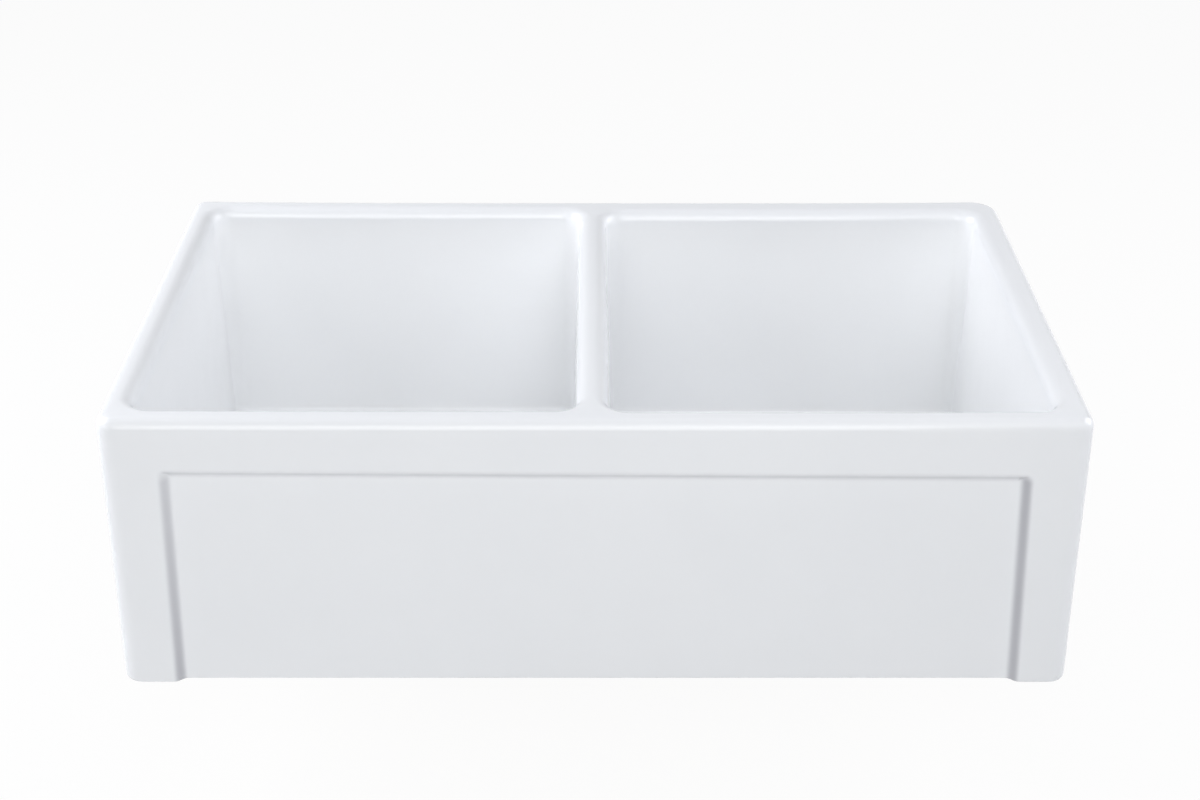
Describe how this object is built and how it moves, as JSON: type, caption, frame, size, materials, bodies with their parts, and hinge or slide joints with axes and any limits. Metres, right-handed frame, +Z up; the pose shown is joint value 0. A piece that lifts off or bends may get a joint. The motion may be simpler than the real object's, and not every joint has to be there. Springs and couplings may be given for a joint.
{
  "type": "farmhouse apron front sink",
  "caption": "Glazed fireclay farmhouse sink with a recessed apron front and two full-depth bowls, each with a lift-out basket strainer drain.",
  "frame": {"origin": "centre of the flat underside of the clay body, where the sink rests on its cabinet; the drains hang below it", "axes": "+Z up, +X to the right of someone at the sink, -Y towards that person: the apron faces -Y"},
  "size_m": [0.838, 0.508, 0.4095],
  "materials": {
    "white_glaze": "glossy white glaze",
    "stainless_steel": "satin polished",
    "chromed_brass": "bright chrome plate on brass",
    "cast_brass": "as cast with turned faces",
    "black_rubber": "matte",
    "foam_gasket": "matte closed-cell foam",
    "pressed_fibre": "matte pressed fibre",
    "white_plastic": "translucent white, matte"
  },
  "bodies": {
    "sink": {"sink_body": "white_glaze", "strainer_body_left": "stainless_steel", "spider_left": "stainless_steel", "flange_gasket_left": "foam_gasket", "lower_gasket_left": "black_rubber", "friction_ring_left": "pressed_fibre", "lock_nut_left": "cast_brass", "tailpiece_washer_left": "white_plastic", "tailpiece_left": "chromed_brass", "coupling_nut_left": "chromed_brass", "strainer_body_right": "stainless_steel", "spider_right": "stainless_steel", "flange_gasket_right": "foam_gasket", "lower_gasket_right": "black_rubber", "friction_ring_right": "pressed_fibre", "lock_nut_right": "cast_brass", "tailpiece_washer_right": "white_plastic", "tailpiece_right": "chromed_brass", "coupling_nut_right": "chromed_brass"},
    "left_basket": {"basket_left": "stainless_steel", "basket_post_left": "stainless_steel", "stopper_seal_left": "black_rubber", "post_nut_left": "stainless_steel"},
    "right_basket": {"basket_right": "stainless_steel", "basket_post_right": "stainless_steel", "stopper_seal_right": "black_rubber", "post_nut_right": "stainless_steel"}
  },
  "joints": [
    {"name": "left_basket_lift", "type": "slide", "parent": "sink", "child": "left_basket", "axis": [0, 0, 1], "range_m": [0, 0.3]},
    {"name": "right_basket_lift", "type": "slide", "parent": "sink", "child": "right_basket", "axis": [0, 0, 1], "range_m": [0, 0.3]}
  ]
}
